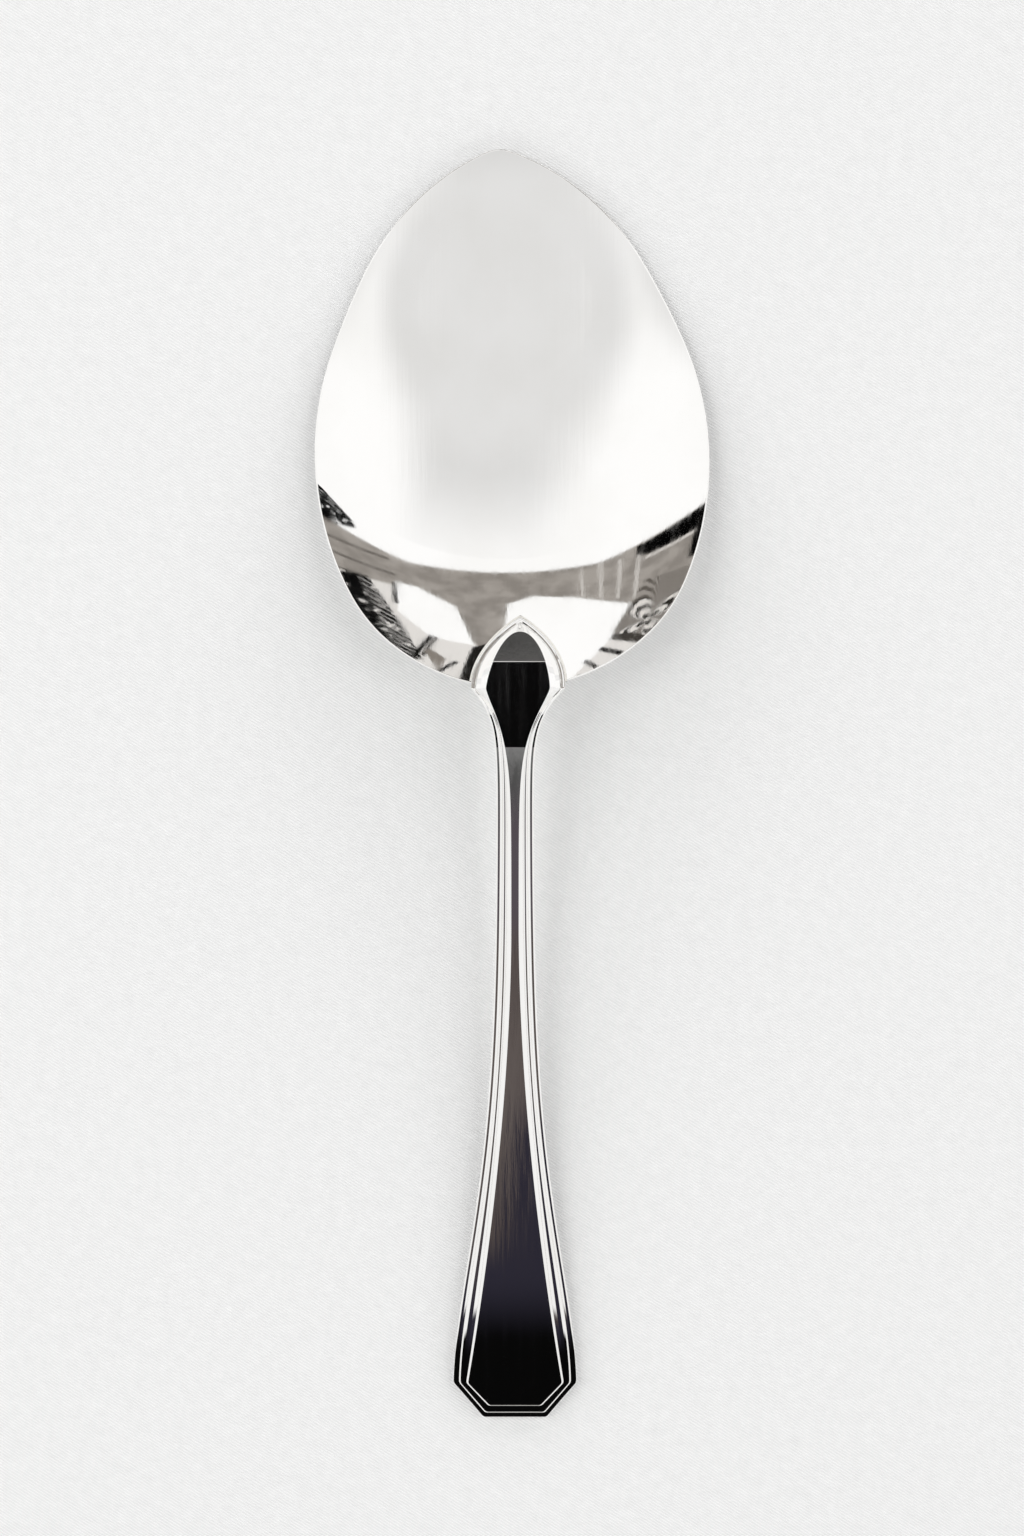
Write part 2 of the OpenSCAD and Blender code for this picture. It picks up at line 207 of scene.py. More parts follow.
def outline(count, arc_steps=60):
    """The closed outline in the blade's own frame, evenly spaced, and its outward normals."""
    side = chain(arc_steps)
    ring = np.vstack([side, side[-2:0:-1] * [-1, 1]])
    closed = np.vstack([ring, ring[:1]])
    d = np.r_[0, np.cumsum(np.linalg.norm(np.diff(closed, axis=0), axis=1))]
    s = np.linspace(0, d[-1], count, endpoint=False)
    p = np.c_[np.interp(s, d, closed[:, 0]), np.interp(s, d, closed[:, 1])]
    tangent = np.roll(p, -1, 0) - np.roll(p, 1, 0)
    tangent /= np.linalg.norm(tangent, axis=1)[:, None]
    return p, np.c_[-tangent[:, 1], tangent[:, 0]]


def to_spoon(p):
    """From the blade's own frame to the handle's."""
    x, y = p[..., 0], p[..., 1] - JOINT_Y
    c, s = cos(rad(SKEW)), sin(rad(SKEW))
    return np.stack([TONGUE_SET + x * c - y * s, JOINT_Y + x * s + y * c], -1)


def to_blade(x, y):
    """From the handle's frame to the blade's own."""
    u, v = x - TONGUE_SET, y - JOINT_Y
    c, s = cos(rad(SKEW)), sin(rad(SKEW))
    return u * c + v * s, JOINT_Y - u * s + v * c


def blade_top(x, y):
    """Height of the blade's upper face."""
    bx, by = to_blade(np.asarray(x, float), np.asarray(y, float))
    return SHEET.at(np.hypot(bx, by - DISH_Y), BLADE_T)[0]


def plan_middle(count=4000):
    """The middle of the spoon's plan, which is the scene's zero."""
    p = to_spoon(outline(count)[0])
    high, low = p.max(0), p.min(0)
    return (high[0] + low[0]) / 2, (high[1] - HANDLE_LEN) / 2


MID_X, MID_Y = plan_middle()


def placed(p):
    """From the spoon's frame in millimetres to the scene's in metres."""
    p = np.asarray(p, float).copy()
    p[:, 0] -= MID_X
    p[:, 1] -= MID_Y
    return p * MM


def vertex_normals(v, faces):
    """Normals at the points, weighted by the areas of the faces round them."""
    normals = np.zeros_like(v)
    for face in faces:
        q = v[list(face)]
        n = np.zeros(3)
        for i in range(1, len(face) - 1):
            n += np.cross(q[i] - q[0], q[i + 1] - q[0])
        normals[list(face)] += n
    size = np.linalg.norm(normals, axis=1)
    return normals / np.where(size > TINY, size, 1)[:, None]


def make_mesh(name, verts, faces, material, normals=None):
    """A smooth mesh in the scene, with the given normals or those of its faces."""
    mesh = bpy.data.meshes.new(name)
    mesh.from_pydata([tuple(v) for v in placed(verts)], [], [tuple(int(i) for i in f) for f in faces])
    mesh.validate(verbose=False)
    mesh.update()
    mesh.polygons.foreach_set("use_smooth", [True] * len(mesh.polygons))
    if normals is None:
        normals = vertex_normals(np.asarray(verts, float), faces)
    mesh.normals_split_custom_set_from_vertices([tuple(n) for n in normals])
    mesh.materials.append(material)
    obj = bpy.data.objects.new(name, mesh)
    bpy.context.scene.collection.objects.link(obj)
    return obj


def grid_faces(rows, cols, start):
    """Quads between closed rows of equal length, from the point with the number start."""
    out = []
    for r in range(rows - 1):
        for c in range(cols):
            a, b = start + r * cols + c, start + r * cols + (c + 1) % cols
            out.append((a, b, b + cols, a + cols))
    return out


def build_blade(material):
    """The sheet: rings on its upper face, round the two rounded edges of its rim and back under it."""
    count = 440
    rings = 150
    under_rings = 60
    edge = 0.34
    edge_steps = 6
    p, n = outline(count)
    p = p - EDGE_IN * n
    inner = p - edge * n
    outwards = np.c_[n, np.zeros(count)]
    centre = np.array([0, DISH_Y])
    verts = []
    normals = []

    def add(xy, z, normal):
        verts.append(np.c_[to_spoon(xy), z])
        c, s = cos(rad(SKEW)), sin(rad(SKEW))
        x, y = normal[:, 0], normal[:, 1]
        normals.append(np.c_[x * c - y * s, x * s + y * c, normal[:, 2]])

    def on_face(xy, t, up):
        """Heights and normals of points of the face t above the lower one; up is 1 or -1."""
        d = xy - centre
        r = np.linalg.norm(d, axis=1)
        z, s = SHEET.at(r, t)
        u = d / np.where(r > TINY, r, 1)[:, None]
        return z, np.c_[-u * s[:, None], np.sqrt(1 - s * s)] * up

    def add_ring(share, t, up):
        xy = centre + (inner - centre) * share
        z, normal = on_face(xy, t, up)
        add(xy, z, normal)

    def add_edge(k, t, up):
        a = math.pi / 2 * k / edge_steps
        xy = p - edge * (1 - sin(a)) * n
        z, normal = on_face(xy, t, up)
        add(xy, z - up * edge * (1 - cos(a)), normal * cos(a) + outwards * sin(a))

    add(centre[None], np.array([BLADE_T]), np.array([[0, 0, 1.0]]))
    for k in range(1, rings + 1):
        add_ring(k / rings, BLADE_T, 1)
    for k in range(1, edge_steps + 1):
        add_edge(k, BLADE_T, 1)
    for k in range(edge_steps, -1, -1):
        add_edge(k, 0, -1)
    for k in range(under_rings - 1, 0, -1):
        add_ring(k / under_rings, 0, -1)
    add(centre[None], np.array([0.0]), np.array([[0, 0, -1.0]]))

    v = np.vstack(verts)
    nn = np.vstack(normals)
    nn /= np.linalg.norm(nn, axis=1)[:, None]
    rows = (len(v) - 2) // count
    last = len(v) - 1
    start = last - count
    # The outline runs clockwise from the tip, so each face runs against it
    faces = [(1 + (c + 1) % count, 1 + c, 0) for c in range(count)]
    faces += [(b, c, d, a) for a, b, c, d in grid_faces(rows, count, 1)]
    faces += [(start + c, start + (c + 1) % count, last) for c in range(count)]
    return make_mesh("blade_sheet", v, faces, material, nn)


# The handle's plan and heights
def smooth(t):
    """A smooth step from 0 to 1."""
    u = np.clip(t, 0, 1)
    return u * u * (3 - 2 * u)


def mix(a, b, s):
    return a * (1 - s) + b * s


def swell(d, length, power):
    """A share that falls smoothly from 1 with the distance d."""
    return np.exp(-np.power(np.maximum(d, 0) / length, power))


END_Y = -HANDLE_LEN
CORNER_Y = CORNER_LEN - HANDLE_LEN


def outer_half(y):
    """Half of the handle's width."""
    return (NECK_W / 2 + (END_W - NECK_W) / 2 * swell(y - CORNER_Y, TAPER_LEN, TAPER_POWER)
            + (TONGUE_W - NECK_W) / 2 * swell(-y, FLARE_LEN, FLARE_POWER))


def ledge_half(y):
    """Half of the width at the inner ledge's rim."""
    near = swell(-y, FLARE_LEN, FLARE_POWER)
    return outer_half(y) - LEDGE_W * (1 - near) - TONGUE_LEDGE_W * near


def panel_half(y):
    """Half of the panel's width."""
    taper = np.power(np.maximum(1 - (y - CORNER_Y) / PANEL_TAPER_LEN, 0), PANEL_TAPER_POWER)
    return (PANEL_NECK_W / 2 + (PANEL_END_W - PANEL_NECK_W) / 2 * taper
            + (TONGUE_PANEL_W - PANEL_NECK_W) / 2 * swell(-y, PANEL_FLARE_LEN, PANEL_FLARE_POWER))


def lean(y):
    """How far the middle line leans to the side."""
    return TONGUE_SET * smooth(1 + (y - TONGUE_LEN) / LEAN_LEN)


def turned_to_tongue(y):
    """How far the shaft's edges have changed into the tongue's, from 0 to 1."""
    return smooth(1 + y / TURN_LEN)


HEEL_TOP = float(SHEET.at(np.array([SHEET.heel]), BLADE_T)[0][0])
CREST_Z = HEEL_TOP - BLADE_T / cos(rad(RIM_SLOPE)) + NECK_T - TOP_IN
REAR_Z = CREST_Z - (FRONT_BREAK + REAR_BREAK) * tan(rad(LEVEL_SLOPE))


def risen(y):
    """How far the handle has risen from its flat end to its rear break, from 0 to 1."""
    return np.power(np.clip((y - END_Y - END_FLAT) / (-REAR_BREAK - END_Y - END_FLAT), 0, 1), RISE_POWER)


def panel_z(y):
    """Height of the panel, with its breaks behind the heel and on the tongue."""
    y = np.asarray(y, float)
    back = END_T + (REAR_Z - END_T) * risen(y)
    level = CREST_Z - (FRONT_BREAK - y) * tan(rad(LEVEL_SLOPE))
    front = CREST_Z - (y - FRONT_BREAK) * tan(rad(FRONT_SLOPE))
    return np.where(y < -REAR_BREAK, back, np.where(y < FRONT_BREAK, level, front))


def under_z(x, y):
    """Height of the underside, which laps over the blade at the tongue."""
    lapped = np.clip((y + LAP_GAP + LAP_RAMP) / LAP_RAMP, 0, 1)
    free = (CREST_Z - NECK_T) * risen(y)
    lap = blade_top(x, np.maximum(y, -LAP_RAMP - LAP_GAP)) + LAP_GAP
    return free * (1 - lapped) + lap * lapped


def stepped(x, y, ledge):
    """Height of the outer ledge, 0, or the inner one, 1."""
    blade = blade_top(x, np.maximum(y, 0)) + LAP_GAP
    on_tongue = mix(blade, panel_z(y), RIM_SHARES[ledge])
    return mix(panel_z(y) - (2 - ledge) * STEP_H, on_tongue, smooth(1 + y / RIM_FALL_LEN))


def bend(a, b, c, cut, count):
    """A rounded corner at b, from the side of a to the side of c, which cuts less than half of either."""
    most = 0.45
    a, b, c = (np.asarray(q, float) for q in (a, b, c))
    to_a = np.linalg.norm(a - b, axis=-1, keepdims=True)
    to_c = np.linalg.norm(c - b, axis=-1, keepdims=True)
    p = b + (a - b) * np.minimum(cut / np.maximum(to_a, TINY), most)
    q = b + (c - b) * np.minimum(cut / np.maximum(to_c, TINY), most)
    return [p * (1 - t) ** 2 + b * 2 * t * (1 - t) + q * t * t for t in np.linspace(0, 1, count)]


# Distance from the cut corner to the first station of the shaft
STATION_GAP = 1.2
# Stations next to the panel's rear break
BREAK_GAPS = (-0.6, -0.25, -0.08, 0, 0.08, 0.25, 0.6)
AFTER_BREAK = 1.1
SHAFT_STATIONS = 120
NECK_STATIONS = 34
# Stations of the tongue, as shares of its length: before the front break, next to it and behind it
TONGUE_START_SHARES = (0.03, 0.42)
BREAK_SHARES = (0.4425, 0.455, FRONT_BREAK / TONGUE_PANEL_LEN, 0.4695, 0.482)
POINT_START_SHARE = 0.505
TONGUE_STATIONS = 12
POINT_STATIONS = 32
POINT_STATION_POWER = 1.8


def stations():
    """Distances along the shaft, denser at the panel's rear break and the tongue."""
    y = list(np.linspace(CORNER_Y + STATION_GAP, -REAR_BREAK - STATION_GAP, SHAFT_STATIONS))
    y += [gap - REAR_BREAK for gap in BREAK_GAPS]
    y += list(np.linspace(-REAR_BREAK + AFTER_BREAK, -LAP_GAP - LAP_RAMP, NECK_STATIONS))
    y += [-LAP_GAP, 0]
    return np.array(y)


def tongue_places():
    """Shares of a contour's length on the tongue, denser at its front break and its point."""
    t = list(np.linspace(*TONGUE_START_SHARES, TONGUE_STATIONS))
    t += BREAK_SHARES
    to_point = np.power(np.linspace(1, 0, POINT_STATIONS), POINT_STATION_POWER)
    t += list(1 - (1 - POINT_START_SHARE) * to_point)
    return np.array(t)


def narrowed(t, powers):
    """The share of its width that a contour has left at the share t of its length on the tongue."""
    return np.power(np.maximum(1 - np.power(t, powers[0]), 0), powers[1])


def contour(inset, half_of, length, powers):
    """One side of a contour in plan, from the end's edge to the tongue's point."""
    corner_round = 0.45
    corner_steps = 7
    edge_shares = (0.3, 0.6)
    cut_shares = (0.3, 0.5, 0.7)
    end_corner = np.array([END_EDGE_W / 2 - CORNER_SHARE * inset, END_Y + inset])
    side_corner = np.array([float(half_of(np.array(CORNER_Y))), CORNER_Y])
    middle = np.array([0.0, END_Y + inset])
    first_y = CORNER_Y + STATION_GAP
    first = np.array([float(half_of(np.array(first_y))), first_y])
    pts = [np.array([end_corner[0] * share, end_corner[1]]) for share in edge_shares]
    pts += bend(middle, end_corner, side_corner, corner_round, corner_steps)
    pts += [mix(end_corner, side_corner, share) for share in cut_shares]
    pts += bend(end_corner, side_corner, first, corner_round, corner_steps)
    y = stations()
    pts += [np.array([h, v]) for h, v in zip(half_of(y), y)]
    t = tongue_places()
    h = float(half_of(np.array(0.0))) * narrowed(t, powers)
    pts += [np.array([a, b]) for a, b in zip(h, length * t)]
    return np.array(pts)


def lift(p, hand, height):
    """Points of a contour on one side of the leaning handle, at a height worked out from their place."""
    x = lean(p[:, 1]) + hand * p[:, 0]
    return np.c_[x, p[:, 1], height(x, p[:, 1])]


def crowned(rim, foot, hand, ledge):
    """A ledge from its rim to its foot, which is crowned along the neck and flat at the end."""
    grown = smooth((rim[:, 1] - END_Y - CROWN_START) / CROWN_LEN)
    rise = CROWN_SHARE * grown * np.linalg.norm(rim - foot, axis=1)
    out = []
    for place in (0, *CROWN_PLACE_SHARES, 1):
        q = lift(mix(rim, foot, place), hand, lambda x, y: stepped(x, y, ledge))
        if 0 < place < 1:
            q[:, 2] += rise
        out.append(q)
    return out


def handle_sides():
    """The rows of both sides of the handle, from the underside's edge up to the panel's."""
    outer = contour(0, outer_half, TONGUE_LEN, TONGUE_POWERS)
    ledge = contour(END_LEDGE_W, ledge_half, TONGUE_LEN - POINT_SHARE * TONGUE_LEDGE_W, TONGUE_POWERS)
    panel = contour(END_BORDER_W, panel_half, TONGUE_PANEL_LEN, PANEL_POWERS)
    tangent = np.gradient(outer, axis=0)
    tangent[0] = [1, 0]
    tangent[-1] = [-1, 0]
    tangent /= np.linalg.norm(tangent, axis=1)[:, None]
    normal = np.c_[tangent[:, 1], -tangent[:, 0]]
    y = outer[:, 1]
    edge = mix(UNDER_EDGE, TONGUE_EDGE, turned_to_tongue(y))[:, None]
    bottom = outer - normal * edge
    bottom[:, 0] = np.maximum(bottom[:, 0], 0)
    foot = mix(FOOT_SHARES[0], FOOT_SHARES[1], smooth((y - CORNER_Y) / FOOT_LEN))
    foot = mix(foot, FOOT_SHARES[2], turned_to_tongue(y))[:, None]
    wall_foot = mix(ledge, outer, OUTER_WALL_SHARE)
    inner_foot = mix(panel, ledge, foot)
    shoulder = mix(panel, inner_foot, mix(*SHOULDER_PLACE_SHARES, turned_to_tongue(y))[:, None])

    # How far each line is rounded
    cuts = (0, 0.3, 0.1, 0.05, 0.05, 0.05, 0.06, 0.04, 0.04, 0.05, 0.06, 0)
    round_steps = 4
    sides = []
    for hand in (1, -1):
        low = lift(outer, hand, under_z)
        low[:, 2] += edge[:, 0]
        lines = [
            lift(bottom, hand, under_z),
            low,
            *crowned(outer, wall_foot, hand, 0),
            *crowned(ledge, inner_foot, hand, 1),
            lift(shoulder, hand, lambda x, y: mix(stepped(x, y, 1), panel_z(y), SHOULDER_HEIGHT_SHARE)),
            lift(panel, hand, lambda x, y: panel_z(y)),
        ]
        rows = [lines[0]]
        for k in range(1, len(lines) - 1):
            rows += bend(lines[k - 1], lines[k], lines[k + 1], cuts[k], round_steps)
        rows.append(lines[-1])
        sides.append(rows)
    return sides


def build_handle(material):
    """The bar: rows round its sides, closed across by the panel above and the underside below."""
    right_rows, left_rows = handle_sides()
    levels = len(right_rows)
    count = len(right_rows[0])
    ring = 2 * count - 1
    v = [np.vstack([np.vstack([right, left[-2::-1]]) for right, left in zip(right_rows, left_rows)])]
    faces = grid_faces(levels, ring, 0)

    def cap(level, shares, height, up):
        """Closes across from side to side, with columns of its own between, at shares of the width."""
        columns = len(shares) + 1
        start = sum(len(q) for q in v)
        rows = []
        for share in shares:
            p = mix(right_rows[level], left_rows[level], share)
            p[:, 2] = height(p[:, 0], p[:, 1])
            rows.append(p[:-1])
        v.append(np.vstack(rows))

        def index(i, c):
            if i == count - 1:
                return level * ring + count - 1
            if c == 0:
                return level * ring + i
            if c == columns:
                return level * ring + ring - 1 - i
            return start + (c - 1) * (count - 1) + i

        for i in range(count - 1):
            for c in range(columns):
                q = [index(i, c), index(i + 1, c), index(i + 1, c + 1), index(i, c + 1)]
                q = [a for j, a in enumerate(q) if a != q[j - 1]]
                faces.append(tuple(q) if up else tuple(reversed(q)))
        # The end's edge lies between the two first points
        return [index(0, c) for c in range(columns + 1)]

    panel_columns = 8
    under_columns = 12
    # Columns next to the panel's edges
    edge_shares = (0.012, 0.988)
    panel_shares = [edge_shares[0], *(c / panel_columns for c in range(1, panel_columns)), edge_shares[1]]
    under_shares = [c / under_columns for c in range(1, under_columns)]
    top_row = cap(levels - 1, panel_shares, lambda x, y: panel_z(y), True)
    low_row = cap(0, under_shares, under_z, False)
    # The end face's closing quads are replaced where the caps have columns of their own
    top = (levels - 1) * ring
    for old, new in (
        ((top - 1, top - ring, top, top + ring - 1), [top - 1, top - ring] + top_row),
        ((ring - 1, 0, ring, 2 * ring - 1), low_row[::-1] + [ring, 2 * ring - 1]),
    ):
        faces = [f for f in faces if set(f) != set(old)]
        faces.append(tuple(new))
    return make_mesh("handle_bar", np.vstack(v), faces, material)


def build_bead(material):
    """The filler's fillet round the tongue's edge, with its film behind."""
    # Stations as shares of the tongue's length, denser at its point
    t = np.r_[np.linspace(0.09, 0.95, 60), np.linspace(0.955, 1, 10)]
    # The hollow is most of a quarter ellipse, whose width is the reach
    top = LAP_GAP + BEAD * 0.94
    foot = BEAD * 0.96
    reach = 0.46
    steps = 7

    def side(grow, hand, z):
        half = (TONGUE_W / 2 + grow) * narrowed(t, TONGUE_POWERS)
        y = (TONGUE_LEN + POINT_SHARE * grow) * t
        x = lean(y) + hand * half
        return np.c_[x, y, blade_top(x, y) + z]

    section = [(-TONGUE_EDGE, LAP_GAP - CLEAR), (CLEAR, LAP_GAP + TONGUE_EDGE), (CLEAR, top)]
    for k in range(1, steps):
        a = math.pi / 2 * k / steps
        section.append((CLEAR + reach * (1 - cos(a)), CLEAR + top * (1 - sin(a))))
    section += [(foot, CLEAR), (-TONGUE_EDGE, CLEAR)]
    rows = [np.vstack([side(grow, 1, z), side(grow, -1, z)[-2::-1]]) for grow, z in section]
    v = np.vstack(rows)
    m = len(section)
    cols = len(rows[0])
    faces = []
    for r in range(m):
        for c in range(cols - 1):
            a = r * cols + c
            b = (r + 1) % m * cols + c
            faces.append((a, b, b + 1, a + 1))
    faces.append(tuple(r * cols for r in range(m)))
    faces.append(tuple(r * cols + cols - 1 for r in range(m - 1, -1, -1)))
    return make_mesh("solder_bead", v, faces, material)


# Materials
def new_node(nodes, kind, **inputs):
    """A shader node with values on its inputs, which are named with underscores for their blanks."""
    node = nodes.new("ShaderNode" + kind)
    for name, value in inputs.items():
        node.inputs[name.replace("_", " ")].default_value = value
    return node


def new_material(name):
    """A material with its nodes, its links, its shader and the coordinates of the object."""
    material = bpy.data.materials.new(name)
    material.use_nodes = True
    nodes = material.node_tree.nodes
    links = material.node_tree.links
    place = nodes.new("ShaderNodeTexCoord").outputs["Object"]
    return material, nodes, links, nodes["Principled BSDF"], place


def colour_mix(nodes, links, fac, a, b):
    """A colour between a and b."""
    node = nodes.new("ShaderNodeMix")
    node.data_type = "RGBA"
    links.new(fac, node.inputs[0])
    for socket, q in ((node.inputs[6], a), (node.inputs[7], b)):
        if isinstance(q, tuple):
            socket.default_value = (*q, 1)
        else:
            links.new(q, socket)
    return node.outputs[2]


def silver(name, light, dark, smoothest, roughest, relief, grain):
    """Polished metal with faint clouding and hair scratches, which run along the spoon."""
    material, nodes, links, bsdf, place = new_material(name)
    bsdf.inputs["Metallic"].default_value = 1.0
    cloud = new_node(nodes, "TexNoise", Scale=55, Detail=4)
    links.new(place, cloud.inputs["Vector"])
    spread = new_node(nodes, "MapRange", From_Min=0.35, From_Max=0.6)
    links.new(cloud.outputs["Fac"], spread.inputs["Value"])
    links.new(colour_mix(nodes, links, spread.outputs["Result"], dark, light), bsdf.inputs["Base Color"])
    stretch = new_node(nodes, "Mapping", Scale=grain)
    links.new(place, stretch.inputs["Vector"])
    hair = new_node(nodes, "TexNoise", Scale=900, Detail=3, Roughness=0.6)
    links.new(stretch.outputs["Vector"], hair.inputs["Vector"])
    rough = new_node(nodes, "MapRange", From_Min=0.4, From_Max=0.75, To_Min=smoothest, To_Max=roughest)
    links.new(hair.outputs["Fac"], rough.inputs["Value"])
    links.new(rough.outputs["Result"], bsdf.inputs["Roughness"])
    bump = new_node(nodes, "Bump", Strength=relief, Distance=0.00002)
    links.new(hair.outputs["Fac"], bump.inputs["Height"])
    links.new(bump.outputs["Normal"], bsdf.inputs["Normal"])
    return material


def cloth(name):
    """White twill table linen."""
    material, nodes, links, bsdf, place = new_material(name)
    bsdf.inputs["Roughness"].default_value = 0.95
    bsdf.inputs["Specular IOR Level"].default_value = 0.1
    turn = new_node(nodes, "Mapping", Rotation=(0, 0, rad(-58)))
    links.new(place, turn.inputs["Vector"])
    twill = new_node(nodes, "TexWave", Scale=640, Distortion=1.2, Detail=2, Detail_Scale=3)
    links.new(turn.outputs["Vector"], twill.inputs["Vector"])
    slub = new_node(nodes, "TexNoise", Scale=420, Detail=5)
    links.new(place, slub.inputs["Vector"])
    weave = nodes.new("ShaderNodeMix")
    weave.data_type = "FLOAT"
    weave.inputs[0].default_value = 0.45
    links.new(twill.outputs["Fac"], weave.inputs[2])
    links.new(slub.outputs["Fac"], weave.inputs[3])
    tone = colour_mix(nodes, links, weave.outputs[0], (0.76, 0.76, 0.76), (0.94, 0.94, 0.94))
    links.new(tone, bsdf.inputs["Base Color"])
    bump = new_node(nodes, "Bump", Strength=0.35, Distance=0.0002)
    links.new(weave.outputs[0], bump.inputs["Height"])
    links.new(bump.outputs["Normal"], bsdf.inputs["Normal"])
    return material


plate = silver("silver_plate", light=(0.965, 0.957, 0.943), dark=(0.93, 0.92, 0.90),
               smoothest=0.025, roughest=0.065, relief=0.1, grain=(1, 0.02, 1))
solder = silver("silver_solder", light=(0.88, 0.86, 0.81), dark=(0.74, 0.72, 0.67),
                smoothest=0.16, roughest=0.3, relief=0.4, grain=(1, 1, 1))

blade = build_blade(plate)
handle = build_handle(plate)
bead = build_bead(solder)
for piece, node, slot in ((blade, "blade", "silver_plate"), (handle, "handle", "silver_plate"),
                          (bead, "braze_joint", "silver_solder")):
    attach(piece, "root")
    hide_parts(node)

# The floor, a square of the linen: half of its width in metres
half = 4.0
corners = [(-half, -half, 0), (half, -half, 0), (half, half, 0), (-half, half, 0)]
mesh = bpy.data.meshes.new("linen")
mesh.from_pydata(corners, [], [(0, 1, 2, 3)])
floor = bpy.data.objects.new("linen", mesh)
bpy.context.scene.collection.objects.link(floor)
mesh.materials.append(cloth("table_linen"))


def grey(level, warm=0.0):
    """A linear colour from an sRGB level of 0 to 255."""
    c = level / 255
    v = c / 12.92 if c <= 0.04045 else ((c + 0.055) / 1.055) ** 2.4
    return (v * (1 + warm), v, v * (1 - warm))


WHITE = tuple(1.03 * q for q in grey(255))


class Room:
    """A room painted by direction in world nodes, which shiny surfaces show.

    ax is the angle to the side of the zenith and ay the angle to its front, in degrees. Shapes are convex,
    with their corners in (ax, ay), and each paints over what was there.
    """

    def __init__(self, world):
        self.nodes = world.node_tree.nodes
        self.links = world.node_tree.links
        self.direction = self.nodes.new("ShaderNodeTexCoord").outputs["Generated"]
        parts = self.nodes.new("ShaderNodeSeparateXYZ")
        self.links.new(self.direction, parts.inputs["Vector"])
        self.x, self.y, self.z = parts.outputs
        self.ax = self.angle(self.x, self.z)
        self.ay = self.angle(self.y, self.z)
        self.wide = self.compute("ABSOLUTE", self.ax)
        self.colour = None
        self.wall = None

    def compute(self, operation, *values):
        """The result of a math node; a value is a number or a socket."""
        node = self.nodes.new("ShaderNodeMath")
        node.operation = operation
        for socket, value in zip(node.inputs, values):
            if isinstance(value, (int, float)):
                socket.default_value = value
            else:
                self.links.new(value, socket)
        return node.outputs[0]

    def angle(self, a, b):
        """The angle in degrees from the direction b to the direction a."""
        return self.compute("MULTIPLY", self.compute("ARCTAN2", a, b), 180 / math.pi)

    def scaled_plus(self, a, factor, b):
        """The value a * factor + b, which also slants one angle by another."""
        return self.compute("MULTIPLY_ADD", a, factor, b)

    def times(self, first, *others):
        """The product of masks and numbers."""
        for q in others:
            first = self.compute("MULTIPLY", first, q)
        return first

    def step(self, value, off, on):
        """A soft step from 0 at off to 1 at on."""
        node = new_node(self.nodes, "MapRange", From_Min=min(off, on), From_Max=max(off, on))
        node.interpolation_type = "SMOOTHSTEP"
        if off > on:
            node.inputs["To Min"].default_value = 1
            node.inputs["To Max"].default_value = 0
        self.links.new(value, node.inputs["Value"])
        return node.outputs["Result"]

    def stripes(self, value, half_gap, off, on):
        """Stripes across the way in which value grows, which repeat after two half gaps."""
        return self.step(self.compute("PINGPONG", value, half_gap), off, on)

    def blend(self, fac, a, b):
        """A colour between a and b."""
        return colour_mix(self.nodes, self.links, fac, a, b)

    def shape(self, points, soft=0.35):
        """The mask of a shape with soft edges."""
        sides = list(zip(points, points[1:] + points[:1]))
        if sum(x0 * y1 - x1 * y0 for (x0, y0), (x1, y1) in sides) < 0:
            return self.shape(points[::-1], soft)
        mask = None
        for (x0, y0), (x1, y1) in sides:
            size = math.hypot(x1 - x0, y1 - y0)
            a = (y0 - y1) / size
            b = (x1 - x0) / size
            across = self.scaled_plus(self.ax, a, -(a * x0 + b * y0))
            inside = self.compute("ADD", across, self.times(self.ay, b))
            edge = self.step(inside, -soft, soft)
            mask = edge if mask is None else self.compute("MINIMUM", mask, edge)
        return mask

    def mottle(self, scale, off, on, stretch=(1, 1, 1), detail=1.0):
        """A mask of soft irregular patches."""
        mapping = new_node(self.nodes, "Mapping", Scale=stretch)
        self.links.new(self.direction, mapping.inputs["Vector"])
        noise = new_node(self.nodes, "TexNoise", Scale=scale, Detail=detail)
        self.links.new(mapping.outputs["Vector"], noise.inputs["Vector"])
        return self.step(noise.outputs["Fac"], off, on)

    def paint(self, colour, *masks):
        """Paints over where all masks are."""
        self.colour = self.blend(self.times(*masks), self.colour, colour)


def paint_ceiling(room):
    """Pale near the zenith and white further to the front, with a soft grey beam from front to back."""
    sky = room.blend(room.step(room.ay, 4, 9), grey(248), WHITE)
    widen = room.compute("MAXIMUM", room.scaled_plus(room.ay, 0.28, -1.82), 0.0)
    right_side = room.step(room.compute("SUBTRACT", room.ax, widen), 2.8, 0.5)
    beam = room.times(room.step(room.ax, -3.9, -0.6), right_side, room.step(room.ay, 21, 11))
    dull = room.blend(room.step(room.ay, 1, 5), grey(219), grey(229))
    dull = room.blend(room.step(room.ay, 8, 13), dull, grey(224))
    room.colour = room.blend(beam, sky, dull)
    # Two faint bands of it fall across the blade's sides
    for points, level in (
        ([(2.6, 5.0), (2.6, 4.0), (7.0, 5.8), (7.0, 8.2)], 230),
        ([(-3.2, 4.8), (-3.2, 6.0), (-7.8, 8.6), (-7.8, 6.9)], 224),
    ):
        room.paint(grey(level), room.shape(points, 0.9), 0.7)


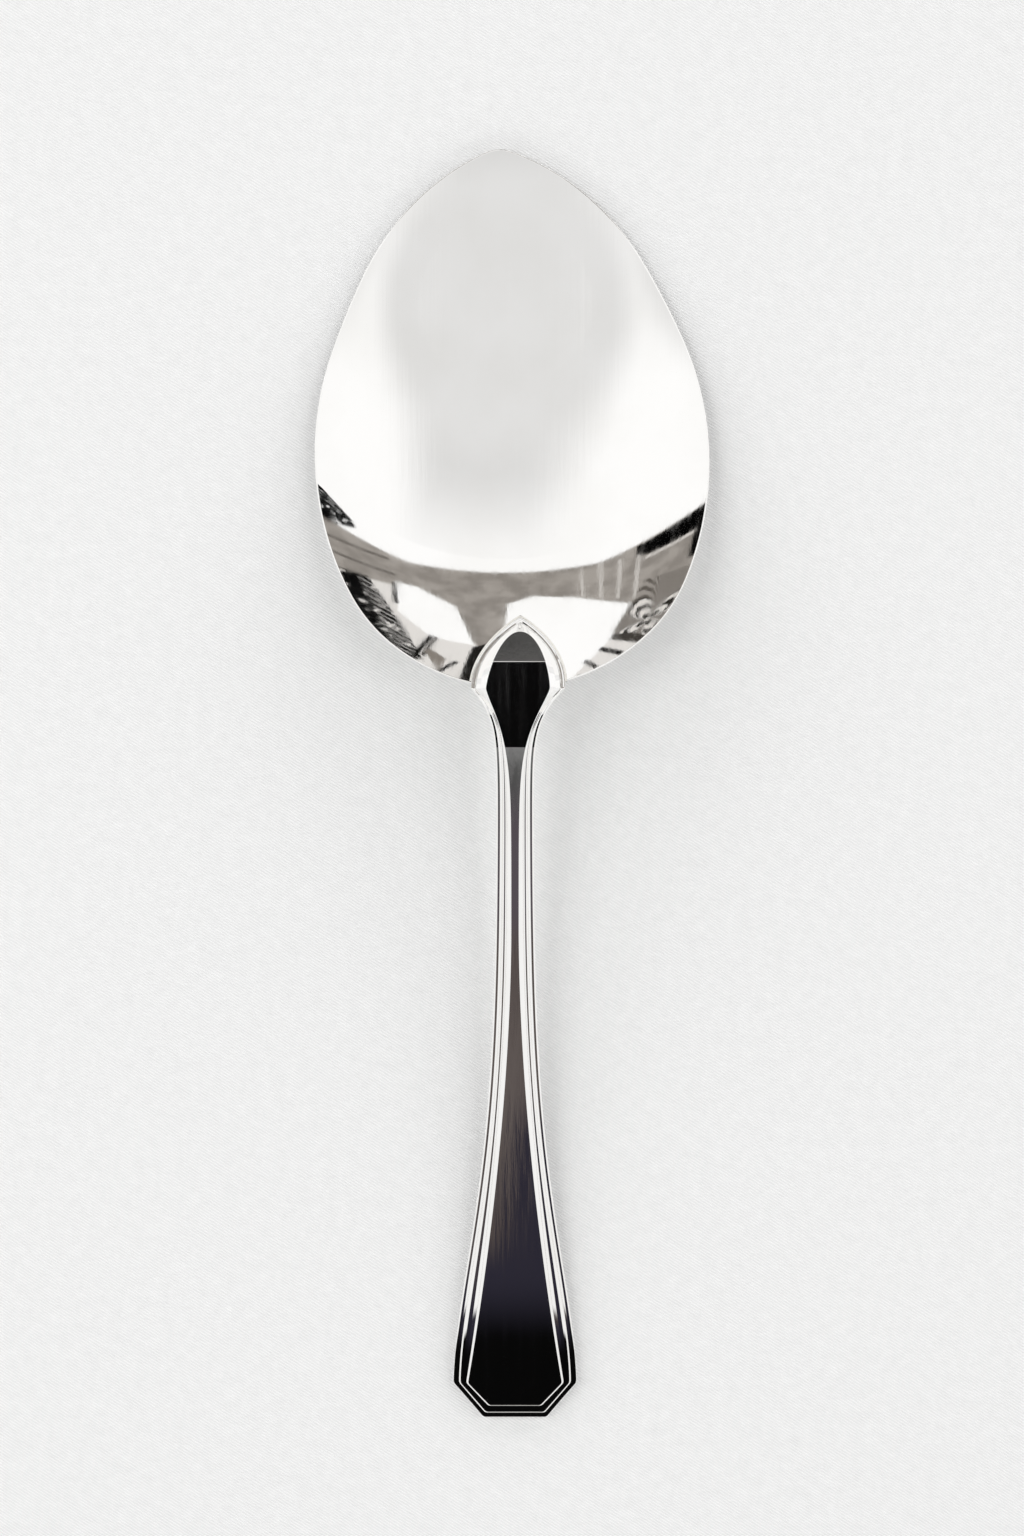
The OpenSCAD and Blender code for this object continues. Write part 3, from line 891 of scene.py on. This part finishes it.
def paint_far_wall(room):
    """The far wall, which reaches lower at the sides, and its two windows, seen in the blade's heel."""
    bent = room.compute("MAXIMUM", room.compute("SUBTRACT", room.wide, 12.0), 0.0)
    above = room.scaled_plus(bent, 0.4, room.ay)
    sector = room.step(room.scaled_plus(room.wide, -1.0, room.ay), -4, 4)
    room.wall = room.times(room.step(above, 35.2, 35.8), sector, room.step(room.ay, 74, 66))
    taupe = room.blend(room.mottle(24, 0.35, 0.65, detail=2.0), grey(136, 0.09), grey(160, 0.08))
    room.paint(taupe, room.wall)
    cream = grey(226, 0.03)
    for points, colour, soft in (
        ([(12, 41), (24, 41), (23, 56), (5, 62), (5, 52)], cream, 0.35),
        ([(-27, 50), (-19, 50), (-12, 57), (-12, 66), (-24, 63)], cream, 0.35),
        ([(5.4, 52), (7.2, 43.5), (12, 40.4), (15, 40.2), (16.8, 46.5), (13, 51)], WHITE, 0.2),
        ([(-21.5, 46.5), (-10, 42), (-4, 40.8), (-0.5, 42.5), (1, 62), (-15, 61), (-19, 54)], WHITE, 0.2),
    ):
        room.paint(colour, room.shape(points, soft))


def paint_petals(room):
    """A flower of four petals with nested outlines, at the end of the wall on the right of the blade."""
    x = room.compute("ADD", room.ax, 24.5)
    y = room.compute("SUBTRACT", room.ay, 50.3)
    away = room.compute("SQRT", room.scaled_plus(x, x, room.times(y, y)))
    lobes = room.compute("COSINE", room.scaled_plus(room.compute("ARCTAN2", y, x), 2.0, 1.75))
    petals = room.compute("DIVIDE", away, room.compute("MAXIMUM", room.compute("ABSOLUTE", lobes), 0.12))
    uneven = room.scaled_plus(room.mottle(70, 0.47, 0.5), 0.25, petals)
    nested = room.stripes(uneven, 1.25, 0.5, 0.8)
    within = room.step(petals, 6.2, 5.8)
    end = room.shape([(-30, 41.5), (-20.3, 41.5), (-19.2, 51), (-20, 53), (-29, 56)], 0.2)
    room.paint(room.blend(within, grey(150, 0.08), grey(222, 0.04)), end)
    room.paint(room.blend(within, grey(92, 0.12), grey(38, 0.15)), end, nested)


def paint_rails(room):
    """Slats on the right of the blade, and on its left a railing and a row of beads."""
    slats = room.stripes(room.scaled_plus(room.ax, 0.75, room.ay), 1.9, 1.5, 1.65)
    corners = [(-27, 51), (-20, 52), (-14.5, 60.5), (-8, 62), (-8, 67), (-24, 66)]
    room.paint(grey(50), room.shape(corners), slats)
    bars = room.stripes(room.scaled_plus(room.ax, 0.5, room.ay), 0.55, 0.05, 0.12)
    dense = room.mottle(55, 0.34, 0.39)
    outer_end = room.step(room.wide, 20.6, 21.0)
    railing = room.compute("MAXIMUM", room.times(bars, dense), room.times(outer_end, dense))
    corners = [(19.2, 40.5), (25.5, 40.5), (25.5, 50), (22, 57), (16.2, 57), (17.5, 48)]
    room.paint(grey(10), room.shape(corners, 0.15), railing)
    beads = room.stripes(room.scaled_plus(room.ax, -0.6, room.ay), 2.4, 1.9, 2.1)
    room.paint(grey(40), room.shape([(11, 55), (17, 57), (12, 66), (4, 66), (4, 60)]), beads)


def paint_marks(room):
    """Black and brown marks at both ends of the heel, and lines on the wall."""
    for points, soft, colour in (
        ([(-25.5, 30.2), (-16.3, 34.2), (-17.0, 36.3), (-20.5, 36.2), (-25.8, 34.3)], 0.15, grey(4)),
        ([(-18.4, 36.6), (-25.2, 34.6), (-25.2, 35.3), (-18.4, 37.3)], 0.12, grey(205, 0.05)),
        ([(-25.5, 28.5), (-23.6, 31.0), (-24.9, 36), (-25.3, 40), (-28.5, 40)], 0.2, grey(6)),
    ):
        room.paint(colour, room.shape(points, soft))
    leaves = room.mottle(95, 0.28, 0.32, detail=0.0)
    corners = [(12.6, 19.5), (15, 19.5), (24, 30.5), (21.6, 32.3), (17.6, 31.6)]
    room.paint(grey(6), room.shape(corners, 0.2), leaves)
    for points, level in (
        ([(-16.6, 56.6), (-19.8, 58.5), (-19.6, 59.2), (-16.3, 57.3)], 30),
        ([(-18.4, 54.2), (-23.6, 56.3), (-23.6, 57.2), (-18.2, 55.0)], 16),
        ([(-19.4, 51.8), (-23.3, 52.6), (-28, 54.6), (-28, 56.0), (-23, 54.2), (-19.4, 52.9)], 62),
        ([(15.0, 40.4), (15.6, 40.4), (17.0, 44.9), (16.2, 44.9)], 18),
        ([(18.3, 56.0), (12.9, 50.5), (12.4, 51.1), (17.8, 56.7)], 14),
        ([(16.2, 55.4), (11.9, 50.7), (11.6, 51.1), (15.8, 55.9)], 60),
        ([(15.2, 54.4), (13.8, 53.8), (11.5, 55.7), (14.1, 58.8)], 128),
        ([(5.7, 52.4), (3.2, 51.6), (3.2, 60), (8.0, 64), (10.2, 60.5)], 26),
    ):
        room.paint(grey(level, 0.12), room.shape(points, 0.15))
    boards = room.stripes(room.scaled_plus(room.ax, 0.12, room.ay), 1.5, 1.15, 1.3)
    corners = [(14.5, 31.5), (25, 31), (25, 40.5), (14.5, 40.5)]
    room.paint(grey(104, 0.1), room.shape(corners), boards, room.wall)
    posts = room.stripes(room.scaled_plus(room.ay, 0.3, room.ax), 1.3, 0.95, 1.1)
    corners = [(-20, 36), (-9.5, 35.5), (-10.5, 42.0), (-20, 45)]
    room.paint(grey(198, 0.05), room.shape(corners), posts)


def paint_dark(room):
    """The dark high on the far wall, and the dark column behind, which the handle's panel shows."""
    dusk = room.blend(room.mottle(60, 0.4, 0.6, (0.2, 3, 1), 3.0), grey(60, 0.02), grey(98, 0.02))
    turn = room.compute("ABSOLUTE", room.angle(room.x, room.y))
    room.paint(dusk, room.step(room.ay, 65, 70), room.step(room.ay, 86, 82), room.step(turn, 16, 10))
    navy = (0.025, 0.023, 0.036)
    purple = (0.09, 0.076, 0.09)
    streak = room.mottle(30, 0.35, 0.65, (4, 0.6, 1), 3.0)
    brown = room.blend(streak, (0.068, 0.054, 0.051), (0.118, 0.099, 0.094))
    # Brown on the left and navy on the right
    halves = room.blend(room.step(room.scaled_plus(room.ay, 0.0875, room.ax), -1.29, -1.39), navy, brown)
    column = grey(8)
    for start, full, tone in (
        (-10.6, -12.9, navy),
        (-12.8, -14, halves),
        (-15.8, -16.8, brown),
        (-18.6, -19.2, purple),
        (-20.2, -20.5, grey(78)),
        (-20.65, -20.9, grey(138)),
        (-36, -44, grey(200, 0.02)),
    ):
        column = room.blend(room.step(room.ay, start, full), column, tone)
    room.paint(column, room.step(room.wide, 14.5, 10.5), room.step(room.ay, -1.0, -2.0))


def light_world():
    """Plain light for the object, a pale background for the camera, and the room for what shines."""
    world = bpy.data.worlds.new("room")
    world.use_nodes = True
    room = Room(world)
    for paint in (paint_ceiling, paint_far_wall, paint_petals, paint_rails, paint_marks, paint_dark):
        paint(room)
    nodes, links = room.nodes, room.links
    # Dull surfaces are lit more from the sides than from above
    plain = nodes["Background"]
    links.new(room.blend(room.step(room.z, 0.3, 0.62), grey(255), grey(90)), plain.inputs["Color"])
    plain.inputs["Strength"].default_value = 2.15
    seen = new_node(nodes, "Background", Strength=1.0)
    links.new(room.colour, seen.inputs["Color"])
    pale = new_node(nodes, "Background", Color=(0.9, 0.91, 0.93, 1), Strength=1.0)
    path = nodes.new("ShaderNodeLightPath")
    shader = plain
    for ray, other in (("Is Glossy Ray", seen), ("Is Camera Ray", pale)):
        choice = nodes.new("ShaderNodeMixShader")
        links.new(path.outputs[ray], choice.inputs[0])
        links.new(shader.outputs[0], choice.inputs[1])
        links.new(other.outputs[0], choice.inputs[2])
        shader = choice
    links.new(shader.outputs[0], nodes["World Output"].inputs["Surface"])
    bpy.context.scene.world = world


light_world()


def area_light(name, place, size, energy, colour):
    """A square lamp that faces the spoon and doesn't show in it."""
    data = bpy.data.lights.new(name, "AREA")
    data.shape = "SQUARE"
    data.size = size
    data.energy = energy
    data.color = colour
    obj = bpy.data.objects.new(name, data)
    obj.location = place
    x, y, z = place
    obj.rotation_euler = (math.atan2(math.hypot(x, y), z), 0, math.atan2(-y, -x) - math.pi / 2)
    obj.visible_glossy = False
    bpy.context.scene.collection.objects.link(obj)


lamp_white = (1, 0.998, 0.99)
area_light("left_light", place=(-1.0, 0.15, 1.3), size=1.0, energy=9.0, colour=lamp_white)
area_light("right_light", place=(1.0, 0.15, 1.3), size=1.0, energy=6.5, colour=lamp_white)

# The camera looks straight down. Its place and the height of its picture on the table are in metres, and the
# height of its sensor is in millimetres.
CAMERA_HEIGHT = 0.8
CAMERA_Y = 0.0028
PICTURE_HEIGHT = 0.2912
SENSOR = 24
data = bpy.data.cameras.new("camera")
data.sensor_fit = "VERTICAL"
data.sensor_height = SENSOR
data.lens = SENSOR * CAMERA_HEIGHT / PICTURE_HEIGHT
data.clip_start = 0.01
camera = bpy.data.objects.new("camera", data)
camera.location = (0, CAMERA_Y, CAMERA_HEIGHT)
bpy.context.scene.collection.objects.link(camera)
bpy.context.scene.camera = camera

scene = bpy.context.scene
scene.view_settings.view_transform = "Standard"
